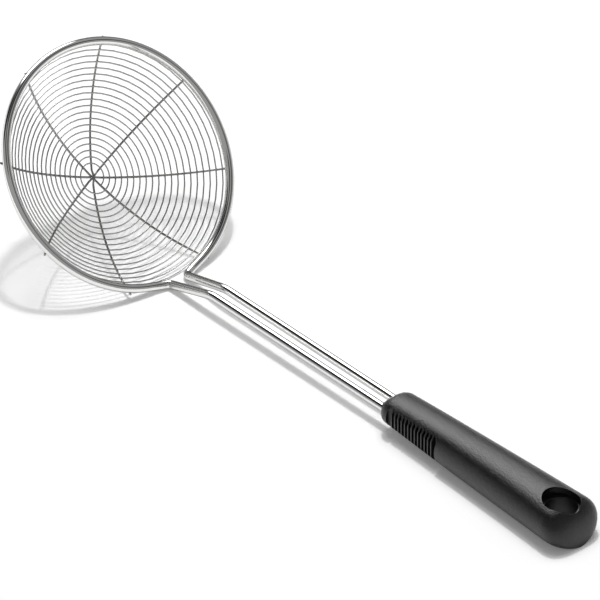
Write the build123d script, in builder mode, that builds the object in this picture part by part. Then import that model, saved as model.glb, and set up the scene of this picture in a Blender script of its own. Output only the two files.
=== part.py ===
"""Spider skimmer: a shallow wire bowl on a bent steel rod, with a soft-gripped handle."""

from build123d import *
from math import asin, atan2, cos, dist, pi, radians, sin, sqrt
import os

os.makedirs("parts", exist_ok=True)

# Whole tool, millimetres: X along the handle, Z up, the tool lying as it is put down
overall_length = 414
overrun = 4

# Frame rod: the rim of the bowl, the neck and both shanks are one bent rod.
# Rod and wires are round, drawn with the side counts given here, corners on the round
rod_diameter = 4.8
rod_side_count = 8
rim_radius = 67.6
rim_tilt = 47
rim_foot_height = 2.36
rim_opening = 37.27
easing_run = 6
easing_radius = 38
corner_set = 1.5
corner_half_spacing = 5.9
corner_height = 2.25
corner_radius = 3.6
bend_set = 33.9
bend_radius = 25
shank_pitch = 9.3
shank_height = 11.4
rod_in_handle = 72

# Rib wires: four diameters of the dome, each stepped over the ones beneath it
rib_diameter = 1.2
rib_side_count = 4
rib_count = 4
rib_azimuth = 20.7
rib_overhang = 2.9
dome_depth = 28.5
weld_gap = 0.05
rib_step = 0.4
crest_half_length = 1.5
hump_reach = 5.4
hump_lead = 1.6
hump_radius = 3

# Spiral wire: one unbroken winding that lies on the ribs
spiral_wire_diameter = 0.8
spiral_side_count = 3
spiral_start = 6
spiral_rim_set = 2.57
spiral_half_turns = 39
points_per_half_turn = 24

# Handle, outside
handle_length = 150
width_front = 22.5
width_middle = 28.5
width_butt = 37.3
top_front = 20
top_middle = 22.9
top_butt = 22.4
underside_front = 5.5
underside_flat_share = 0.75
section_fullness_share = 0.64
facets_per_quarter = 5
nose_length = 8
nose_drop = 1.1
butt_length = 13.8
butt_roundness = 2.6
nose_shares = (0.28, 0.45, 0.7, 1)
body_shares = (0.2, 0.45, 0.7, 0.9)
butt_shares = (0, 0.35, 0.6, 0.8, 0.92, 0.985)

# Handle, hard core
core_front_set = 1.9
core_half_width = 7.7
core_wide_half_width = 10.5
core_wide_reach = 30
core_neck_length = 50
core_bottom = 7.5
core_top = 17
core_edge_radius = 1.2
rod_clearance = 0.05

# Hanging hole
hole_from_butt = 15.8
hole_diameter = 18
eyelet_wall = 2.6
mouth_half_length = 11.1
mouth_half_width = 9.8

# Finger fins, in a recess along each side
recess_start = 9.7
recess_end = 49.2
recess_half_width = 8.5
recess_front_radius = 4.5
recess_back_radius = 6.5
fin_count = 13
fin_pitch = 2.7
fin_thickness = 0.8
fin_inset = 1
first_fin = 13

rod_radius = rod_diameter / 2
rib_radius = rib_diameter / 2
spiral_wire_radius = spiral_wire_diameter / 2
tilt = radians(rim_tilt)
rim_height = rim_radius * sin(tilt) + rim_foot_height
bowl_x = rim_radius * cos(tilt) + rod_radius - overall_length / 2
neck_x = bowl_x + rim_radius * cos(tilt)
handle_end = overall_length / 2
handle_start = handle_end - handle_length
hole_x = handle_end - hole_from_butt

# The rim's own plane: X points down towards the neck, Z out of the bowl's mouth
bowl = Plane(
    origin=(bowl_x, 0, rim_height),
    x_dir=(cos(tilt), 0, -sin(tilt)),
    z_dir=(sin(tilt), 0, cos(tilt)),
)
rim_leave_angle = asin(rim_opening / 2 / rim_radius)

# The ribs pass just under the rim rod, which sets the radius of their dome
rib_seat = rod_radius + rib_radius + weld_gap
dome_radius = (dome_depth**2 + rim_radius**2 - rib_seat**2) / (2 * (dome_depth - rib_seat))
winding_radius = dome_radius - rib_radius - spiral_wire_radius - weld_gap

# The winding ends a set distance short of the rim, which gives its pitch
rim_angle = atan2(rim_radius, dome_radius - dome_depth)
spiral_run = winding_radius * rim_angle - spiral_rim_set - spiral_start
spiral_pitch = 2 * spiral_run / spiral_half_turns


def rim_point(angle):
    """Point of the rim's centre line, by its angle from the neck."""
    return bowl.from_local_coords((rim_radius * cos(angle), rim_radius * sin(angle), 0))


def shank_points(side):
    """Corner points of the rod from the rim's end to its own end in the handle."""
    easing_out = rim_radius * cos(rim_leave_angle) + easing_run * sin(rim_leave_angle)
    easing_across = rim_radius * sin(rim_leave_angle) - easing_run * cos(rim_leave_angle)
    return [
        rim_point(side * rim_leave_angle),
        bowl.from_local_coords((easing_out, side * easing_across, 0)),
        Vector(neck_x + corner_set, side * corner_half_spacing, corner_height),
        Vector(neck_x + bend_set, side * shank_pitch / 2, shank_height),
        Vector(handle_start + rod_in_handle, side * shank_pitch / 2, shank_height),
    ]


with BuildPart() as frame_rod:
    with BuildLine() as rod_path:
        FilletPolyline(*shank_points(1), radius=(easing_radius, corner_radius, bend_radius))
        ThreePointArc(rim_point(rim_leave_angle), rim_point(pi), rim_point(-rim_leave_angle))
        FilletPolyline(*shank_points(-1), radius=(easing_radius, corner_radius, bend_radius))
    rod_end = Plane(origin=shank_points(1)[-1], z_dir=(-1, 0, 0))
    with BuildSketch(rod_end):
        RegularPolygon(rod_radius, side_count=rod_side_count)
    sweep(path=rod_path.wires()[0])
frame_rod.part.label = "frame_rod"
export_step(frame_rod.part, "parts/frame_rod.step")


def rib_plane(azimuth):
    """Upright plane of a rib: X along the rib, Y out of the bowl, origin at the dome's bottom."""
    angle = radians(azimuth)
    along = bowl.x_dir * cos(angle) + bowl.y_dir * sin(angle)
    return Plane(origin=bowl.origin - bowl.z_dir * dome_depth, x_dir=along, z_dir=along.cross(bowl.z_dir))


def dome_rise(reach):
    """Height of the dome over its bottom, at a distance from its axis."""
    return dome_radius - sqrt(dome_radius**2 - reach**2)


def rib_wire(level):
    """A rib, lifted at the middle over the ribs beneath it and notched where it is welded to them."""
    plane = rib_plane(rib_azimuth + 180 / rib_count * level)
    lift = level * rib_step
    end = rim_radius + rib_overhang
    middle = (end + hump_reach) / 2
    slope = asin(hump_reach / dome_radius)
    lead_x = hump_reach - hump_lead * cos(slope)
    lead_y = dome_rise(hump_reach) - hump_lead * sin(slope)
    end_y, middle_y, hump_y = dome_rise(end), dome_rise(middle), dome_rise(hump_reach)
    with BuildPart() as rib:
        with BuildLine(plane) as path:
            if level == 0:
                ThreePointArc((-end, end_y), (0, 0), (end, end_y))
            else:
                ThreePointArc((-end, end_y), (-middle, middle_y), (-hump_reach, hump_y))
                FilletPolyline(
                    (-hump_reach, hump_y),
                    (-lead_x, lead_y),
                    (-crest_half_length, lift),
                    (crest_half_length, lift),
                    (lead_x, lead_y),
                    (hump_reach, hump_y),
                    radius=hump_radius,
                )
                ThreePointArc((hump_reach, hump_y), (middle, middle_y), (end, end_y))
        rib_line = path.wires()[0]
        with BuildSketch(Plane(origin=rib_line @ 0, x_dir=plane.z_dir, z_dir=rib_line % 0)):
            RegularPolygon(rib_radius, side_count=rib_side_count)
        sweep(path=rib_line)
        for under in range(level):
            crossed = rib_plane(rib_azimuth + 180 / rib_count * under)
            crest = Plane(origin=crossed.origin + bowl.z_dir * under * rib_step, z_dir=crossed.x_dir)
            with Locations(crest):
                Cylinder(rib_radius + weld_gap, 3 * crest_half_length, mode=Mode.SUBTRACT)
    return rib.part


for level in range(rib_count):
    rib_part = rib_wire(level)
    rib_part.label = f"rib_wire_{level + 1}"
    export_step(rib_part, f"parts/{rib_part.label}.step")

# The winding's frame: its half turns meet on this plane's X axis
start_angle = radians(rib_azimuth)
winding = Plane(
    origin=bowl.origin,
    x_dir=bowl.x_dir * cos(start_angle) + bowl.y_dir * sin(start_angle),
    z_dir=bowl.z_dir,
)


def half_turn_end(count):
    """Where the spiral crosses its own X axis after a number of half turns."""
    angle = (spiral_start + spiral_pitch * count / 2) / winding_radius
    side = 1 - 2 * (count % 2)
    height = dome_radius - dome_depth - winding_radius * cos(angle)
    return (side * winding_radius * sin(angle), 0, height)


def half_turn_top(count):
    """The middle of a half turn: half a chord out to the side."""
    here = Vector(half_turn_end(count))
    there = Vector(half_turn_end(count + 1))
    side = 1 - 2 * (count % 2)
    return tuple((here + there) / 2 + Vector(0, side * (here - there).length / 2, 0))


with BuildPart() as spiral_wire:
    with BuildLine(winding) as spiral_path:
        for count in range(spiral_half_turns):
            ThreePointArc(half_turn_end(count), half_turn_top(count), half_turn_end(count + 1))
    spiral_line = spiral_path.wires()[0]
    with BuildSketch(Plane(origin=spiral_line @ 0, x_dir=-bowl.z_dir, z_dir=spiral_line % 0)):
        RegularPolygon(spiral_wire_radius, side_count=spiral_side_count)
    sweep(path=spiral_line)
spiral_wire.part.label = "spiral_wire"
export_step(spiral_wire.part, "parts/spiral_wire.step")

steps = spiral_half_turns * points_per_half_turn
spiral_points = [tuple(spiral_line @ (step / steps)) for step in range(steps + 1)]
least_gap = min(
    dist(spiral_points[first], spiral_points[second])
    for first in range(len(spiral_points))
    for second in range(first + points_per_half_turn, len(spiral_points))
) - spiral_wire_diameter
print("least gap between turns of the spiral wire:", round(least_gap, 3))


def along_handle(share, front, middle, butt):
    """A size that runs smoothly through its values at the front, the middle and the butt."""
    front_part = front * (1 - share) * (1 - 2 * share)
    return front_part + 4 * middle * share * (1 - share) + butt * share * (2 * share - 1)


def handle_section(share):
    """Half width, top and underside of the handle before its ends are rounded."""
    half_width = along_handle(share, width_front, width_middle, width_butt) / 2
    top = along_handle(share, top_front, top_middle, top_butt)
    lift = max(1 - share / underside_flat_share, 0)
    return half_width, top, underside_front * lift**2


def handle_stations():
    """Each station along the handle: its place, half width, half height and middle height."""
    stations = []
    for share in nose_shares:
        distance = nose_length * share
        half_width, top, underside = handle_section(distance / handle_length)
        scale = sqrt(1 - (1 - share) ** 2)
        middle = (top + underside) / 2 - (1 - scale) * nose_drop
        stations.append((distance, scale * half_width, scale * (top - underside) / 2, middle))
    straight = handle_length - nose_length - butt_length
    for share in body_shares:
        distance = nose_length + straight * share
        half_width, top, underside = handle_section(distance / handle_length)
        stations.append((distance, half_width, (top - underside) / 2, (top + underside) / 2))
    for share in butt_shares:
        distance = handle_length - butt_length * (1 - share / butt_shares[-1])
        half_width, top, underside = handle_section(distance / handle_length)
        scale = (1 - share**butt_roundness) ** (1 / butt_roundness)
        half_height = scale * (top - underside) / 2
        stations.append((distance, scale * half_width, half_height, underside + half_height))
    return stations


with BuildPart() as core_blank:
    with BuildSketch(Plane.XY.offset(core_bottom)):
        with BuildLine():
            Polyline(
                (handle_start + core_front_set, -core_half_width),
                (handle_start + core_neck_length, -core_half_width),
                (hole_x - core_wide_reach, -core_wide_half_width),
                (hole_x, -core_wide_half_width),
                (hole_x, core_wide_half_width),
                (hole_x - core_wide_reach, core_wide_half_width),
                (handle_start + core_neck_length, core_half_width),
                (handle_start + core_front_set, core_half_width),
                close=True,
            )
        make_face()
        with Locations((hole_x, 0)):
            Circle(hole_diameter / 2 + eyelet_wall)
    extrude(amount=core_top - core_bottom)
    fillet(core_blank.faces().sort_by(Axis.X)[0].edges(), core_edge_radius)

with BuildPart() as handle_core:
    add(core_blank.part)
    with BuildSketch(Plane.XY):
        with Locations((hole_x, 0)):
            Circle(hole_diameter / 2)
    extrude(amount=core_top + overrun, mode=Mode.SUBTRACT)
    for side in (-1, 1):
        with BuildSketch(Plane(origin=shank_points(side)[-1], z_dir=(-1, 0, 0))):
            Circle(rod_radius + rod_clearance)
        extrude(amount=rod_in_handle, mode=Mode.SUBTRACT)
handle_core.part.label = "handle_core"
export_step(handle_core.part, "parts/handle_core.step")

# The handle's section, as shares of its half width and half height: one quarter, turned four times
quarter_shares = ((1, 0), (1, section_fullness_share), (section_fullness_share, 1), (0, 1))
quarter = Bezier(*quarter_shares)
quarter_points = [quarter @ (facet / facets_per_quarter) for facet in range(facets_per_quarter)]
section_shares = []
for turn in (0, 90, 180, 270):
    section_shares += [point.rotate(Axis.Z, turn) for point in quarter_points]

# Cuts right through the handle start below it and end above it
below = Plane.XY.offset(-overrun)
through_height = top_middle + 2 * overrun

with BuildPart() as soft_grip:
    for distance, half_width, half_height, middle in handle_stations():
        station = Plane(origin=(handle_start + distance, 0, middle), x_dir=(0, 1, 0), z_dir=(1, 0, 0))
        with BuildSketch(station):
            with BuildLine():
                outline = [(half_width * share.X, half_height * share.Y) for share in section_shares]
                Polyline(*outline, close=True)
            make_face()
    loft(ruled=True)
    add(core_blank.part, mode=Mode.SUBTRACT)
    with BuildSketch(below):
        with Locations((hole_x, 0)):
            Ellipse(mouth_half_length, mouth_half_width)
    extrude(amount=through_height, mode=Mode.SUBTRACT)
    with BuildSketch(below):
        recess_front = handle_start + recess_start
        recess_back = handle_start + recess_end
        with BuildLine():
            Line((recess_front, width_butt), (recess_front, recess_half_width + recess_front_radius))
            RadiusArc(
                (recess_front, recess_half_width + recess_front_radius),
                (recess_front + recess_front_radius, recess_half_width),
                -recess_front_radius,
            )
            Line(
                (recess_front + recess_front_radius, recess_half_width),
                (recess_back - recess_back_radius, recess_half_width),
            )
            RadiusArc(
                (recess_back - recess_back_radius, recess_half_width),
                (recess_back, recess_half_width + recess_back_radius),
                -recess_back_radius,
            )
            Polyline(
                (recess_back, recess_half_width + recess_back_radius),
                (recess_back, width_butt),
                (recess_front, width_butt),
            )
        make_face()
        for count in range(fin_count):
            distance = first_fin + fin_pitch * count
            fin_depth = handle_section(distance / handle_length)[0] - fin_inset - recess_half_width
            with Locations((handle_start + distance, recess_half_width + fin_depth / 2)):
                Rectangle(fin_thickness, fin_depth, mode=Mode.SUBTRACT)
        mirror(about=Plane.XZ)
    extrude(amount=through_height, mode=Mode.SUBTRACT)
soft_grip.part.label = "soft_grip"
export_step(soft_grip.part, "parts/soft_grip.step")
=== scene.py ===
from math import asin, atan2, cos, pi, radians, sin, sqrt, tan

import bmesh
import bpy
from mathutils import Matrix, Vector


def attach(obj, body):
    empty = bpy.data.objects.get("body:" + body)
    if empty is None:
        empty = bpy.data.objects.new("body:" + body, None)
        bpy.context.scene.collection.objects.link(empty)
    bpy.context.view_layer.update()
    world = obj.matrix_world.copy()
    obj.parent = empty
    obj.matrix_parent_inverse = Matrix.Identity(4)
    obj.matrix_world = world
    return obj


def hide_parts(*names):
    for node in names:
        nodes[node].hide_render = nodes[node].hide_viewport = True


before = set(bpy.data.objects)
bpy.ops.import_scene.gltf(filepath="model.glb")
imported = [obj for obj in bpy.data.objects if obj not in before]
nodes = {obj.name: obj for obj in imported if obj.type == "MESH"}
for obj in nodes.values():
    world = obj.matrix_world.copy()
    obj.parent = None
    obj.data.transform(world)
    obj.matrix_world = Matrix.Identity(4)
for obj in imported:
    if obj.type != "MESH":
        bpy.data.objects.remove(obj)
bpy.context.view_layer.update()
print("frame loaded:", len(nodes), "nodes")

scene = bpy.context.scene
mm = 0.001

# camera, fitted to the photograph: far away, so the view is nearly parallel
cameraLook = {
    "target": Vector((-56.45, 37.96, 0)) * mm,
    "elevation": radians(35.54),
    "heading": radians(48.28),
    "distance": 14.764,
    "lens": 1674.6,
    "sensor": 36,
    "clipEnd": 60,
}
cameraRight = Vector((cos(cameraLook["heading"]), sin(cameraLook["heading"]), 0))
cameraBack = Vector((
    sin(cameraLook["heading"]) * cos(cameraLook["elevation"]),
    -cos(cameraLook["heading"]) * cos(cameraLook["elevation"]),
    sin(cameraLook["elevation"]),
))
cameraUp = cameraBack.cross(cameraRight)


def makeCamera(look):
    data = bpy.data.cameras.new("photoCamera")
    data.sensor_width = look["sensor"]
    data.lens = look["lens"]
    data.clip_end = look["clipEnd"]
    camera = bpy.data.objects.new("photoCamera", data)
    scene.collection.objects.link(camera)
    camera.location = look["target"] + cameraBack * look["distance"]
    camera.rotation_euler = (-cameraBack).to_track_quat("-Z", "Y").to_euler()
    scene.camera = camera


makeCamera(cameraLook)


# shader helpers
def newMaterial(name):
    material = bpy.data.materials.new(name)
    material.use_nodes = True
    tree = material.node_tree
    return material, tree, tree.nodes["Principled BSDF"]


def addNode(tree, kind, **inputs):
    node = tree.nodes.new(kind)
    for name, value in inputs.items():
        node.inputs[name].default_value = value
    return node


def addMath(tree, operation, kind="ShaderNodeMath"):
    node = tree.nodes.new(kind)
    node.operation = operation
    return node


# a colour Mix node has its colours on inputs 6 and 7, and its result on output 2
def mixColours(tree, mask, low, high):
    mix = tree.nodes.new("ShaderNodeMix")
    mix.data_type = "RGBA"
    for socket, colour in ((mix.inputs[6], low), (mix.inputs[7], high)):
        if isinstance(colour, tuple):
            socket.default_value = (*colour, 1)
        else:
            tree.links.new(colour, socket)
    tree.links.new(mask, mix.inputs[0])
    return mix.outputs[2]


def newGroup(name, inputs, outputs):
    group = bpy.data.node_groups.new(name, "ShaderNodeTree")
    for label, value in inputs.items():
        socket = group.interface.new_socket(label, in_out="INPUT", socket_type="NodeSocketFloat")
        socket.default_value = value
    for label in outputs:
        group.interface.new_socket(label, in_out="OUTPUT", socket_type="NodeSocketFloat")
    return group, group.nodes.new("NodeGroupInput"), group.nodes.new("NodeGroupOutput")


# fine surface grain: a height, a tone and a roughness that change over the surface
def makeGrainGroup():
    group, inside, outside = newGroup(
        "surfaceGrain",
        {"Scale": 900.0, "Base Roughness": 0.5, "Roughness Spread": 0.1},
        ("Height", "Tone", "Roughness"),
    )
    place = group.nodes.new("ShaderNodeTexCoord")
    fine = addNode(group, "ShaderNodeTexNoise", Detail=4.0, Roughness=0.65)
    broad = addNode(group, "ShaderNodeTexNoise", Scale=60.0, Detail=2.0)
    spread = addMath(group, "MULTIPLY_ADD")
    tone = addMath(group, "MULTIPLY")
    group.links.new(place.outputs["Object"], fine.inputs["Vector"])
    group.links.new(place.outputs["Object"], broad.inputs["Vector"])
    group.links.new(inside.outputs["Scale"], fine.inputs["Scale"])
    group.links.new(broad.outputs["Fac"], spread.inputs[0])
    group.links.new(inside.outputs["Roughness Spread"], spread.inputs[1])
    group.links.new(inside.outputs["Base Roughness"], spread.inputs[2])
    group.links.new(fine.outputs["Fac"], outside.inputs["Height"])
    group.links.new(fine.outputs["Fac"], tone.inputs[0])
    group.links.new(broad.outputs["Fac"], tone.inputs[1])
    group.links.new(tone.outputs["Value"], outside.inputs["Tone"])
    group.links.new(spread.outputs["Value"], outside.inputs["Roughness"])
    return group


# a painted highlight along edges: where a surface turns over an edge, the cosine between its
# normal and a rounded one falls there, and the colour is made lighter there
edgeHighlightLook = {
    "highlightStart": 0.99,
    "highlightFull": 0.85,
    "samples": 4,
}


def makeEdgeHighlightGroup(look):
    group, inside, outside = newGroup("edgeHighlight", {"Radius": 0.0005, "Strength": 0.5}, ("Mask",))
    rounded = group.nodes.new("ShaderNodeBevel")
    rounded.samples = look["samples"]
    flat = group.nodes.new("ShaderNodeNewGeometry")
    same = addMath(group, "DOT_PRODUCT", "ShaderNodeVectorMath")
    turned = addNode(group, "ShaderNodeMapRange", **{
        "From Min": look["highlightStart"], "From Max": look["highlightFull"],
    })
    highlighted = addMath(group, "MULTIPLY")
    group.links.new(inside.outputs["Radius"], rounded.inputs["Radius"])
    group.links.new(rounded.outputs["Normal"], same.inputs[0])
    group.links.new(flat.outputs["Normal"], same.inputs[1])
    group.links.new(same.outputs["Value"], turned.inputs["Value"])
    group.links.new(turned.outputs["Result"], highlighted.inputs[0])
    group.links.new(inside.outputs["Strength"], highlighted.inputs[1])
    group.links.new(highlighted.outputs["Value"], outside.inputs["Mask"])
    return group


def grainedMaterial(name, look):
    material, tree, shader = newMaterial(name)
    shader.inputs["Metallic"].default_value = look["metallic"]
    shader.inputs["Specular IOR Level"].default_value = look["specular"]
    shader.inputs["Specular Tint"].default_value = (*look["edgeTint"], 1)
    grain = tree.nodes.new("ShaderNodeGroup")
    grain.node_tree = grainGroup
    grain.inputs["Scale"].default_value = look["grainScale"]
    grain.inputs["Base Roughness"].default_value = look["roughness"]
    grain.inputs["Roughness Spread"].default_value = look["spread"]
    bump = addNode(tree, "ShaderNodeBump", Strength=look["bump"], Distance=look["bumpDepth"])
    colour = mixColours(tree, grain.outputs["Tone"], look["dark"], look["light"])
    # a lighter colour over the edges: a painted highlight
    if "edge" in look:
        edge = tree.nodes.new("ShaderNodeGroup")
        edge.node_tree = edgeHighlightGroup
        edge.inputs["Radius"].default_value = look["edgeRadius"]
        edge.inputs["Strength"].default_value = look["edgeHighlight"]
        colour = mixColours(tree, edge.outputs["Mask"], colour, look["edge"])
    tree.links.new(colour, shader.inputs["Base Color"])
    tree.links.new(grain.outputs["Roughness"], shader.inputs["Roughness"])
    tree.links.new(grain.outputs["Height"], bump.inputs["Height"])
    tree.links.new(bump.outputs["Normal"], shader.inputs["Normal"])
    return material


grainGroup = makeGrainGroup()
edgeHighlightGroup = makeEdgeHighlightGroup(edgeHighlightLook)
blackLook = {
    "metallic": 0, "specular": 0.5, "edgeTint": (1, 1, 1), "spread": 0.08,
    # the strength of the painted highlight on the edges
    "edgeRadius": 0.3 * mm, "edgeHighlight": 0.5,
}
steelLook = {
    "metallic": 1, "specular": 0.5, "edgeTint": (0.35, 0.35, 0.35),
    "bump": 0.05, "bumpDepth": 0.02 * mm,
}
softRubber = grainedMaterial("softRubber", {
    **blackLook,
    # "edge" is the colour of the painted highlight on the grip's edges
    "dark": (0.001, 0.001, 0.001), "light": (0.014, 0.014, 0.0145), "edge": (0.07, 0.07, 0.07),
    "roughness": 0.25, "grainScale": 1000, "bump": 1.0, "bumpDepth": 0.26 * mm,
})
hardPlastic = grainedMaterial("hardPlastic", {
    **blackLook,
    # "edge" is the colour of the painted highlight on the core's edges
    "dark": (0.004, 0.004, 0.004), "light": (0.012, 0.012, 0.012), "edge": (0.06, 0.06, 0.06),
    "roughness": 0.3, "grainScale": 1500, "bump": 0.1, "bumpDepth": 0.02 * mm,
})
polishedSteel = grainedMaterial("polishedSteel", {
    **steelLook,
    "dark": (0.74, 0.74, 0.73), "light": (0.9, 0.9, 0.89),
    "roughness": 0.05, "spread": 0.04, "grainScale": 700,
})
wireSteel = grainedMaterial("wireSteel", {
    **steelLook,
    "dark": (0.5, 0.5, 0.49), "light": (0.78, 0.78, 0.76),
    "roughness": 0.14, "spread": 0.08, "grainScale": 900,
})
# painted shade: the ribs get the wire steel made darker
shadedRibSteel = grainedMaterial("shadedRibSteel", {
    **steelLook,
    "dark": (0.3, 0.3, 0.295), "light": (0.52, 0.52, 0.51),
    "roughness": 0.16, "spread": 0.08, "grainScale": 900,
})
nodes["handle_core"].data.materials.clear()
nodes["handle_core"].data.materials.append(hardPlastic)
print("materials made")

# the bowl's frame: X down to the neck, Z out of the mouth
bowlLook = {
    "length": 414 * mm,
    "rodRadius": 2.4 * mm,
    "rimRadius": 67.6 * mm,
    "rimTilt": radians(47),
    "rimFootHeight": 2.36 * mm,
    "domeDepth": 28.5 * mm,
    "ribRadius": 0.6 * mm,
    "weldGap": 0.05 * mm,
}
rimRadius = bowlLook["rimRadius"]
neckX = 2 * rimRadius * cos(bowlLook["rimTilt"]) + bowlLook["rodRadius"] - bowlLook["length"] / 2
bowlDown = Vector((cos(bowlLook["rimTilt"]), 0, -sin(bowlLook["rimTilt"])))
bowlAcross = Vector((0, 1, 0))
bowlOut = Vector((sin(bowlLook["rimTilt"]), 0, cos(bowlLook["rimTilt"])))
bowlMiddle = Vector((neckX, 0, bowlLook["rimFootHeight"])) - bowlDown * rimRadius
ribSeat = bowlLook["rodRadius"] + bowlLook["ribRadius"] + bowlLook["weldGap"]
domeDepth = bowlLook["domeDepth"]
domeRadius = (domeDepth ** 2 + rimRadius ** 2 - ribSeat ** 2) / (2 * (domeDepth - ribSeat))


def inBowl(x, y, z=0):
    return bowlMiddle + bowlDown * x + bowlAcross * y + bowlOut * z


def domeRise(reach):
    return domeRadius - sqrt(domeRadius ** 2 - reach ** 2)


# wires: a path with rounded corners, and a round tube along it
def roundedPath(corners, radii, steps=10):
    path = [corners[0]]
    for before, corner, after, radius in zip(corners, corners[1:], corners[2:], radii):
        back, ahead = (before - corner).normalized(), (after - corner).normalized()
        half = back.angle(ahead) / 2
        centre = corner + (back + ahead).normalized() * radius / sin(half)
        first = corner + back * radius / tan(half) - centre
        last = corner + ahead * radius / tan(half) - centre
        turn = pi - 2 * half
        for step in range(steps + 1):
            share = step / steps
            spoke = (first * sin((1 - share) * turn) + last * sin(share * turn)) / sin(turn)
            path.append(centre + spoke)
    path.append(corners[-1])
    return path


def makeWire(name, path, radius, material, roundness):
    curve = bpy.data.curves.new(name, "CURVE")
    curve.dimensions = "3D"
    curve.bevel_depth = radius
    curve.bevel_resolution = roundness
    curve.use_fill_caps = True
    spline = curve.splines.new("POLY")
    spline.points.add(len(path) - 1)
    for point, place in zip(spline.points, path):
        point.co = (*place, 1)
    curve.materials.append(material)
    wire = bpy.data.objects.new(name, curve)
    scene.collection.objects.link(wire)
    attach(wire, "root")
    return wire


# frame rod: the rim, the neck and both shanks
rodLook = {
    "tubeRadius": 2.37 * mm,
    "rimOpening": 37.27 * mm,
    "easingRun": 6 * mm,
    "cornerSet": 1.5 * mm,
    "cornerHalfSpacing": 5.9 * mm,
    "cornerHeight": 2.25 * mm,
    "bendSet": 33.9 * mm,
    "shankHalfPitch": 4.65 * mm,
    "shankHeight": 11.4 * mm,
    "endX": 129 * mm,
    "radii": (38 * mm, 3.6 * mm, 25 * mm),
    "rimSteps": 200,
    "roundness": 8,
}


def makeFrameRod(look):
    leave = asin(look["rimOpening"] / 2 / rimRadius)
    out = rimRadius * cos(leave) + look["easingRun"] * sin(leave)
    across = rimRadius * sin(leave) - look["easingRun"] * cos(leave)

    def shank(side):
        cornerY, shankY = side * look["cornerHalfSpacing"], side * look["shankHalfPitch"]
        return roundedPath([
            inBowl(rimRadius * cos(leave), side * rimRadius * sin(leave)),
            inBowl(out, side * across),
            Vector((neckX + look["cornerSet"], cornerY, look["cornerHeight"])),
            Vector((neckX + look["bendSet"], shankY, look["shankHeight"])),
            Vector((look["endX"], shankY, look["shankHeight"])),
        ], look["radii"])

    rim = []
    for step in range(1, look["rimSteps"]):
        angle = leave + (2 * pi - 2 * leave) * step / look["rimSteps"]
        rim.append(inBowl(rimRadius * cos(angle), rimRadius * sin(angle)))
    path = shank(1)[::-1] + rim + shank(-1)
    rod = makeWire("frameRod", path, look["tubeRadius"], polishedSteel, look["roundness"])
    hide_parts("frame_rod")


makeFrameRod(rodLook)
print("frame rod made")

# ribs: four diameters of the dome, each stepped over the ones beneath it
ribLook = {
    "count": 4,
    "azimuth": radians(20.7),
    "overhang": 2.9 * mm,
    "step": 0.4 * mm,
    "crestHalfLength": 1.5 * mm,
    "humpReach": 5.4 * mm,
    "humpLead": 1.6 * mm,
    "humpRadius": 3 * mm,
    "arcSteps": 40,
    "bendSteps": 5,
    "middleSteps": 4,
    "roundness": 5,
}


def makeRib(level, look):
    azimuth = look["azimuth"] + pi / look["count"] * level
    along = bowlDown * cos(azimuth) + bowlAcross * sin(azimuth)
    bottom = bowlMiddle - bowlOut * domeDepth
    reach = look["humpReach"]
    slope = asin(reach / domeRadius)
    seat = Vector((reach, domeRise(reach)))
    lead = Vector((
        reach - look["humpLead"] * cos(slope),
        domeRise(reach) - look["humpLead"] * sin(slope),
    ))
    crest = Vector((look["crestHalfLength"], level * look["step"]))
    end = rimRadius + look["overhang"]
    outer = [end + (reach - end) * step / look["arcSteps"] for step in range(look["arcSteps"])]
    half = [Vector((x, domeRise(x))) for x in outer]
    if level:
        flip = Vector((-1, 1))
        corners = [seat * flip, lead * flip, crest * flip, crest, lead, seat]
        hump = roundedPath(corners, (look["humpRadius"],) * 4, look["bendSteps"])
    else:
        steps = look["middleSteps"]
        across = [reach * step / steps for step in range(-steps, steps + 1)]
        hump = [Vector((x, domeRise(x))) for x in across]
    flat = [Vector((-point.x, point.y)) for point in half] + hump + half[::-1]
    path = [bottom + along * point.x + bowlOut * point.y for point in flat]
    rib = makeWire(f"rib{level + 1}", path, bowlLook["ribRadius"], shadedRibSteel, look["roundness"])
    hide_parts(f"rib_wire_{level + 1}")


for level in range(ribLook["count"]):
    makeRib(level, ribLook)
print("ribs made")

# the winding: half turns whose ends lie on the first rib's line
windingLook = {
    "start": 6 * mm,
    "rimSet": 2.57 * mm,
    "halfTurns": 39,
    "radius": 0.4 * mm,
    "stepsPerHalfTurn": 24,
    "roundness": 2,
}


def makeWinding(look):
    azimuth = ribLook["azimuth"]
    along = bowlDown * cos(azimuth) + bowlAcross * sin(azimuth)
    side = bowlOut.cross(along)
    radius = domeRadius - bowlLook["ribRadius"] - look["radius"] - bowlLook["weldGap"]
    rimAngle = atan2(rimRadius, domeRadius - domeDepth)
    pitch = 2 * (radius * rimAngle - look["rimSet"] - look["start"]) / look["halfTurns"]

    def crossing(count):
        angle = (look["start"] + pitch * count / 2) / radius
        sign = 1 - 2 * (count % 2)
        height = domeRadius - domeDepth - radius * cos(angle)
        return bowlMiddle + along * (sign * radius * sin(angle)) + bowlOut * height

    path = []
    for count in range(look["halfTurns"]):
        here, there = crossing(count), crossing(count + 1)
        centre = (here + there) / 2
        spoke = here - centre
        sign = 1 - 2 * (count % 2)
        for step in range(look["stepsPerHalfTurn"]):
            turn = pi * step / look["stepsPerHalfTurn"]
            path.append(centre + spoke * cos(turn) + side * (sign * spoke.length * sin(turn)))
    path.append(crossing(look["halfTurns"]))
    wire = makeWire("spiralWinding", path, look["radius"], wireSteel, look["roundness"])
    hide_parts("spiral_wire")


makeWinding(windingLook)
print("winding made")

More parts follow.
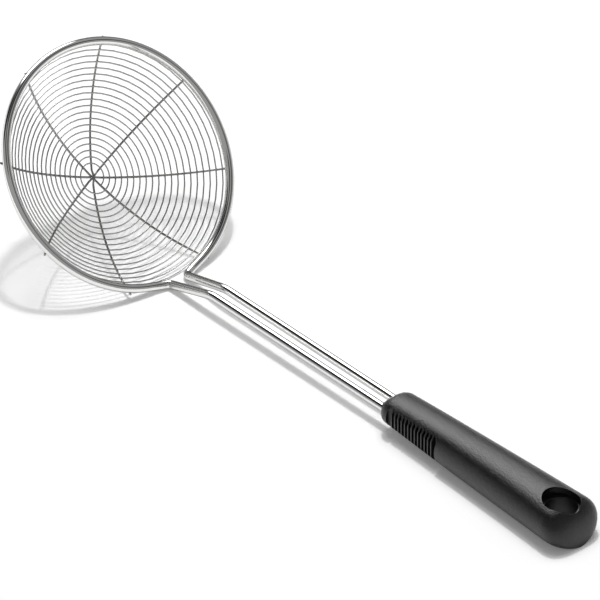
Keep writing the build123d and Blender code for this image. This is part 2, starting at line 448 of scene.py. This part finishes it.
# soft grip: a smooth skin, cut for the hard core, the hanging hole and the finger fins
gripLook = {
    "start": 57 * mm,
    "length": 150 * mm,
    "width": (22.5 * mm, 28.5 * mm, 37.3 * mm),
    "top": (20 * mm, 22.9 * mm, 22.4 * mm),
    "underside": 5.5 * mm,
    "undersideFlat": 0.75,
    "fullness": 0.64,
    "noseLength": 8 * mm,
    "noseDrop": 1.1 * mm,
    "noseShare": 0.28,
    "noseCrowding": 1.6,
    "buttLength": 13.8 * mm,
    "buttRoundness": 2.6,
    "buttCapShare": 0.4,
    "segments": 96,
    "noseRings": 9,
    "bodyRings": 30,
    "buttRings": 14,
    "mergeDistance": 0.01 * mm,
    "sharpAngle": radians(32),
    "cutLow": -4 * mm,
    "cutHigh": 30 * mm,
}
holeLook = {
    "x": 191.2 * mm,
    "halfLength": 11.1 * mm,
    "halfWidth": 9.8 * mm,
    "segments": 64,
}
coreLook = {
    "start": 58.9 * mm,
    "neckEnd": 107 * mm,
    "halfWidth": 7.7 * mm,
    "wideHalfWidth": 10.5 * mm,
    "wideReach": 30 * mm,
    "eyeletRadius": 11.6 * mm,
    "bottom": 7.5 * mm,
    "top": 17 * mm,
    "eyeletHalfSteps": 16,
}
finLook = {
    "recessStart": 66.7 * mm,
    "recessEnd": 106.2 * mm,
    "floor": 8.5 * mm,
    "firstFin": 70 * mm,
    "pitch": 2.7 * mm,
    "count": 13,
    "thickness": 0.8 * mm,
    "inset": 1 * mm,
    "smallShare": 0.46,
    "reach": 24 * mm,
    "sideSteps": 16,
    "roundSteps": 6,
}


# a size at the handle's front, middle and butt, joined by a parabola
def alongHandle(share, values):
    front, middle, butt = values
    ahead = front * (1 - share) * (1 - 2 * share)
    return ahead + 4 * middle * share * (1 - share) + butt * share * (2 * share - 1)


def handleSection(distance):
    share = distance / gripLook["length"]
    halfWidth = alongHandle(share, gripLook["width"]) / 2
    lift = max(1 - share / gripLook["undersideFlat"], 0)
    return halfWidth, alongHandle(share, gripLook["top"]), gripLook["underside"] * lift ** 2


def gripStations(look):
    stations = []
    for ring in range(look["noseRings"]):
        crowded = (ring / look["noseRings"]) ** look["noseCrowding"]
        share = look["noseShare"] + (1 - look["noseShare"]) * crowded
        distance = look["noseLength"] * share
        halfWidth, top, underside = handleSection(distance)
        scale = sqrt(1 - (1 - share) ** 2)
        middle = (top + underside) / 2 - (1 - scale) * look["noseDrop"]
        stations.append((distance, scale * halfWidth, scale * (top - underside) / 2, middle))
    straight = look["length"] - look["noseLength"] - look["buttLength"]
    for ring in range(look["bodyRings"]):
        distance = look["noseLength"] + straight * ring / look["bodyRings"]
        halfWidth, top, underside = handleSection(distance)
        stations.append((distance, halfWidth, (top - underside) / 2, (top + underside) / 2))
    for ring in range(look["buttRings"]):
        share = sin(pi / 2 * ring / (look["buttRings"] - look["buttCapShare"]))
        distance = look["length"] - look["buttLength"] * (1 - share)
        halfWidth, top, underside = handleSection(distance)
        scale = (1 - share ** look["buttRoundness"]) ** (1 / look["buttRoundness"])
        halfHeight = scale * (top - underside) / 2
        stations.append((distance, scale * halfWidth, halfHeight, underside + halfHeight))
    return stations


def sectionPoint(angle, fullness):
    quarter, t = divmod(angle % (2 * pi) / (pi / 2), 1)
    x = (1 - t) ** 3 + 3 * (1 - t) ** 2 * t + 3 * (1 - t) * t ** 2 * fullness
    y = 3 * (1 - t) ** 2 * t * fullness + 3 * (1 - t) * t ** 2 + t ** 3
    for turn in range(int(quarter)):
        x, y = -y, x
    return x, y


def meshObject(name, build):
    mesh = bpy.data.meshes.new(name)
    build.to_mesh(mesh)
    build.free()
    made = bpy.data.objects.new(name, mesh)
    scene.collection.objects.link(made)
    return made


def makeGripSkin(look):
    build = bmesh.new()
    bmesh.ops.create_circle(build, segments=look["segments"], radius=1)
    stations = gripStations(look)
    distance, lastWidth, lastHeight, lastMiddle = stations[0]
    for vert in build.verts:
        x, y = sectionPoint(atan2(vert.co.y, vert.co.x), look["fullness"])
        vert.co = (look["start"] + distance, x * lastWidth, lastMiddle + y * lastHeight)
    edges = list(build.edges)
    bmesh.ops.contextual_create(build, geom=edges)
    for distance, halfWidth, halfHeight, middle in stations[1:]:
        grown = bmesh.ops.extrude_edge_only(build, edges=edges)["geom"]
        edges = [item for item in grown if isinstance(item, bmesh.types.BMEdge)]
        for vert in (item for item in grown if isinstance(item, bmesh.types.BMVert)):
            x = vert.co.y / lastWidth
            y = (vert.co.z - lastMiddle) / lastHeight
            vert.co = (look["start"] + distance, x * halfWidth, middle + y * halfHeight)
        lastWidth, lastHeight, lastMiddle = halfWidth, halfHeight, middle
    bmesh.ops.contextual_create(build, geom=edges)
    bmesh.ops.recalc_face_normals(build, faces=build.faces)
    return meshObject("softGrip", build)


# a cutter: flat outlines drawn up through the handle
def makeCutter(name, outlines, low, high):
    build = bmesh.new()
    for outline in outlines:
        verts = [build.verts.new((x, y, low)) for x, y in outline]
        grown = bmesh.ops.extrude_face_region(build, geom=[build.faces.new(verts)])["geom"]
        raised = [item for item in grown if isinstance(item, bmesh.types.BMVert)]
        bmesh.ops.translate(build, vec=(0, 0, high - low), verts=raised)
    bmesh.ops.recalc_face_normals(build, faces=build.faces)
    return meshObject(name, build)


def ellipseOutline(look):
    turns = [2 * pi * step / look["segments"] for step in range(look["segments"])]
    return [
        (look["x"] + look["halfLength"] * cos(turn), look["halfWidth"] * sin(turn))
        for turn in turns
    ]


def coreOutline(look):
    hole = holeLook["x"]
    half = asin(look["wideHalfWidth"] / look["eyeletRadius"])
    outline = [(look["start"], -look["halfWidth"]), (look["neckEnd"], -look["halfWidth"])]
    outline.append((hole - look["wideReach"], -look["wideHalfWidth"]))
    steps = look["eyeletHalfSteps"]
    for step in range(-steps, steps + 1):
        turn = (pi - half) * step / steps
        outline.append((hole + look["eyeletRadius"] * cos(turn), look["eyeletRadius"] * sin(turn)))
    outline.append((hole - look["wideReach"], look["wideHalfWidth"]))
    return outline + [(look["neckEnd"], look["halfWidth"]), (look["start"], look["halfWidth"])]


# the thin layer that comes off the handle's side, so that the fins lie a little deeper
def layerOutline(look, side):
    steps = look["sideSteps"]
    outline = []
    for step in range(steps + 1):
        x = look["recessStart"] + (look["recessEnd"] - look["recessStart"]) * step / steps
        halfWidth = handleSection(x - gripLook["start"])[0]
        outline.append((x, side * (halfWidth - look["inset"])))
    out = side * look["reach"]
    return outline + [(look["recessEnd"], out), (look["recessStart"], out)]


# one groove beside a fin, seen from above, with its inner corners rounded
def grooveOutline(look, start, end, side, frontRadius, backRadius):
    steps = look["roundSteps"]
    turns = [pi / 2 * step / steps for step in range(steps + 1)]

    def rounded(x, radius, inwards):
        return [(
            x + inwards * radius * (1 - cos(turn)),
            side * (look["floor"] + radius * (1 - sin(turn))),
        ) for turn in turns]

    front, back = rounded(start, frontRadius, 1), rounded(end, backRadius, -1)
    out = side * look["reach"]
    return [(start, out)] + front + back[::-1] + [(end, out)]


def grooveOutlines(look):
    width = look["pitch"] - look["thickness"]
    small = width * look["smallShare"]
    outlines = []
    for side in (-1, 1):
        for count in range(look["count"] + 1):
            start = look["firstFin"] + look["pitch"] * (count - 1) + look["thickness"] / 2
            end = start + width
            frontRadius = backRadius = small
            if count == 0:
                start = look["recessStart"]
                frontRadius = end - start - small
            if count == look["count"]:
                end = look["recessEnd"]
                backRadius = end - start - small
            outlines.append(grooveOutline(look, start, end, side, frontRadius, backRadius))
    return outlines


def makeGrip():
    grip = makeGripSkin(gripLook)
    low, high = gripLook["cutLow"], gripLook["cutHigh"]
    cutters = [
        makeCutter("holeCutter", [ellipseOutline(holeLook)], low, high),
        makeCutter("coreCutter", [coreOutline(coreLook)], coreLook["bottom"], coreLook["top"]),
        makeCutter("layerCutter", [layerOutline(finLook, side) for side in (-1, 1)], low, high),
        makeCutter("grooveCutter", grooveOutlines(finLook), low, high),
    ]
    for cutter in cutters:
        cut = grip.modifiers.new(cutter.name, "BOOLEAN")
        cut.operation = "DIFFERENCE"
        cut.solver = "EXACT"
        cut.object = cutter
    cutGrip = grip.evaluated_get(bpy.context.evaluated_depsgraph_get())
    cutMesh = bpy.data.meshes.new_from_object(cutGrip)
    grip.modifiers.clear()
    grip.data = cutMesh
    cutMesh.name = "softGrip"
    for cutter in cutters:
        bpy.data.objects.remove(cutter)
    # the cuts leave slivers and one gap in the hole's wall
    clean = bmesh.new()
    clean.from_mesh(cutMesh)
    bmesh.ops.remove_doubles(clean, verts=clean.verts, dist=gripLook["mergeDistance"])
    bmesh.ops.holes_fill(clean, edges=[edge for edge in clean.edges if edge.is_boundary])
    bmesh.ops.recalc_face_normals(clean, faces=clean.faces)
    print("grip open edges:", sum(not edge.is_manifold for edge in clean.edges))
    clean.to_mesh(cutMesh)
    clean.free()
    cutMesh.materials.clear()
    cutMesh.materials.append(softRubber)
    cutMesh.shade_smooth()
    cutMesh.set_sharp_from_angle(angle=gripLook["sharpAngle"])
    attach(grip, "root")
    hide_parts("soft_grip")
    print("grip faces:", len(cutMesh.polygons))


makeGrip()
print("grip made")

# floor, lamps and surroundings
studioLook = {
    "floorSize": 8,
    "fadeStart": 0.4,
    "fadeEnd": 0.9,
    "floorColour": (0.92, 0.92, 0.92),
    "floorRoughness": 0.9,
    "floorGlow": 0.12,
    "lampLean": radians(12.8),
    "lampDistance": 2.2,
    "worldFill": 0.25,
    "mirrorBase": 0.36,
}
lampLooks = {
    "keyLamp": {"size": 0.15, "power": 16.5},
    "softbox": {"size": 1.3, "power": 25},
}
# what polished steel mirrors: a direction fixed in the room, as right, up and back of the
# photograph's view, then the cosines of a soft area's outer and inner edge, and its lightness
mirrorCards = {
    "backWall": ((0, 0.3, -0.95), 0.5, 0.78, 0.1),
    "leftCard": ((-0.92, 0.2, -0.34), 0.92, 0.97, 1.1),
    "leftGap": ((-0.68, 0.7, 0.23), 0.9, 0.965, 0.01),
    "upperGap": ((-0.05, 0.84, 0.54), 0.93, 0.97, 0.03),
    "cameraGap": ((-0.08, 0.5, 0.86), 0.965, 0.985, 0.03),
    "rightGap": ((0.7, 0.5, 0.5), 0.95, 0.98, 0.08),
    "overheadSoftbox": ((-0.14, 0.97, -0.15), 0.93, 0.965, 6.2),
}


def makeFloor(look):
    build = bmesh.new()
    bmesh.ops.create_grid(build, x_segments=1, y_segments=1, size=look["floorSize"] / 2)
    floor = meshObject("studioFloor", build)
    material, tree, shader = newMaterial("whitePaper")
    shader.inputs["Base Color"].default_value = (*look["floorColour"], 1)
    shader.inputs["Roughness"].default_value = look["floorRoughness"]
    shader.inputs["Specular IOR Level"].default_value = 0
    # the floor glows for the camera and for mirrors, up to plain white away from the skimmer
    paths = tree.nodes.new("ShaderNodeLightPath")
    seen = addMath(tree, "MAXIMUM")
    glow = tree.nodes.new("ShaderNodeEmission")
    place = tree.nodes.new("ShaderNodeTexCoord")
    away = addMath(tree, "LENGTH", "ShaderNodeVectorMath")
    fade = addNode(tree, "ShaderNodeMapRange", **{
        "From Min": look["fadeStart"], "From Max": look["fadeEnd"],
        "To Min": look["floorGlow"], "To Max": 1.0,
    })
    strength = addMath(tree, "MULTIPLY")
    both = tree.nodes.new("ShaderNodeAddShader")
    tree.links.new(place.outputs["Object"], away.inputs[0])
    tree.links.new(away.outputs["Value"], fade.inputs["Value"])
    tree.links.new(fade.outputs["Result"], strength.inputs[1])
    tree.links.new(paths.outputs["Is Camera Ray"], seen.inputs[0])
    tree.links.new(paths.outputs["Is Glossy Ray"], seen.inputs[1])
    tree.links.new(seen.outputs["Value"], strength.inputs[0])
    tree.links.new(strength.outputs["Value"], glow.inputs["Strength"])
    tree.links.new(shader.outputs["BSDF"], both.inputs[0])
    tree.links.new(glow.outputs["Emission"], both.inputs[1])
    tree.links.new(both.outputs["Shader"], tree.nodes["Material Output"].inputs["Surface"])
    floor.data.materials.append(material)


# the cards stand in for the lamps in reflections
def makeLamp(name, lampLook, look):
    data = bpy.data.lights.new(name, "AREA")
    data.shape = "SQUARE"
    data.size = lampLook["size"]
    data.energy = lampLook["power"]
    lamp = bpy.data.objects.new(name, data)
    lamp.visible_glossy = False
    scene.collection.objects.link(lamp)
    heading, lean = cameraLook["heading"], look["lampLean"]
    direction = Vector((-sin(heading) * sin(lean), cos(heading) * sin(lean), cos(lean)))
    lamp.location = cameraLook["target"] + direction * look["lampDistance"]
    lamp.rotation_euler = direction.to_track_quat("Z", "Y").to_euler()


def makeWorld(look):
    world = bpy.data.worlds.new("studio")
    world.use_nodes = True
    scene.world = world
    tree = world.node_tree
    tree.nodes.clear()
    output = tree.nodes.new("ShaderNodeOutputWorld")
    paths = tree.nodes.new("ShaderNodeLightPath")
    fill = addNode(tree, "ShaderNodeBackground", Color=(1, 1, 1, 1), Strength=look["worldFill"])
    seen = addNode(tree, "ShaderNodeBackground", Color=(1, 1, 1, 1), Strength=1.0)
    mirrored = addNode(tree, "ShaderNodeBackground", Strength=1.0)
    place = tree.nodes.new("ShaderNodeTexCoord")
    lightness = None  # each card is laid over the ones before it
    for (right, up, back), outer, inner, value in mirrorCards.values():
        direction = (cameraRight * right + cameraUp * up + cameraBack * back).normalized()
        dot = addMath(tree, "DOT_PRODUCT", "ShaderNodeVectorMath")
        dot.inputs[1].default_value = direction
        ramp = addNode(tree, "ShaderNodeMapRange", **{"From Min": outer, "From Max": inner})
        ramp.interpolation_type = "SMOOTHSTEP"
        card = addNode(tree, "ShaderNodeMix", A=look["mirrorBase"], B=value)
        tree.links.new(place.outputs["Generated"], dot.inputs[0])
        tree.links.new(dot.outputs["Value"], ramp.inputs["Value"])
        tree.links.new(ramp.outputs["Result"], card.inputs["Factor"])
        if lightness:
            tree.links.new(lightness, card.inputs["A"])
        lightness = card.outputs["Result"]
    tree.links.new(lightness, mirrored.inputs["Color"])
    forGloss = tree.nodes.new("ShaderNodeMixShader")
    forCamera = tree.nodes.new("ShaderNodeMixShader")
    tree.links.new(paths.outputs["Is Glossy Ray"], forGloss.inputs["Fac"])
    tree.links.new(fill.outputs["Background"], forGloss.inputs[1])
    tree.links.new(mirrored.outputs["Background"], forGloss.inputs[2])
    tree.links.new(paths.outputs["Is Camera Ray"], forCamera.inputs["Fac"])
    tree.links.new(forGloss.outputs["Shader"], forCamera.inputs[1])
    tree.links.new(seen.outputs["Background"], forCamera.inputs[2])
    tree.links.new(forCamera.outputs["Shader"], output.inputs["Surface"])


makeFloor(studioLook)
for name, lampLook in lampLooks.items():
    makeLamp(name, lampLook, studioLook)
makeWorld(studioLook)
scene.view_settings.view_transform = "Standard"
print("studio made")
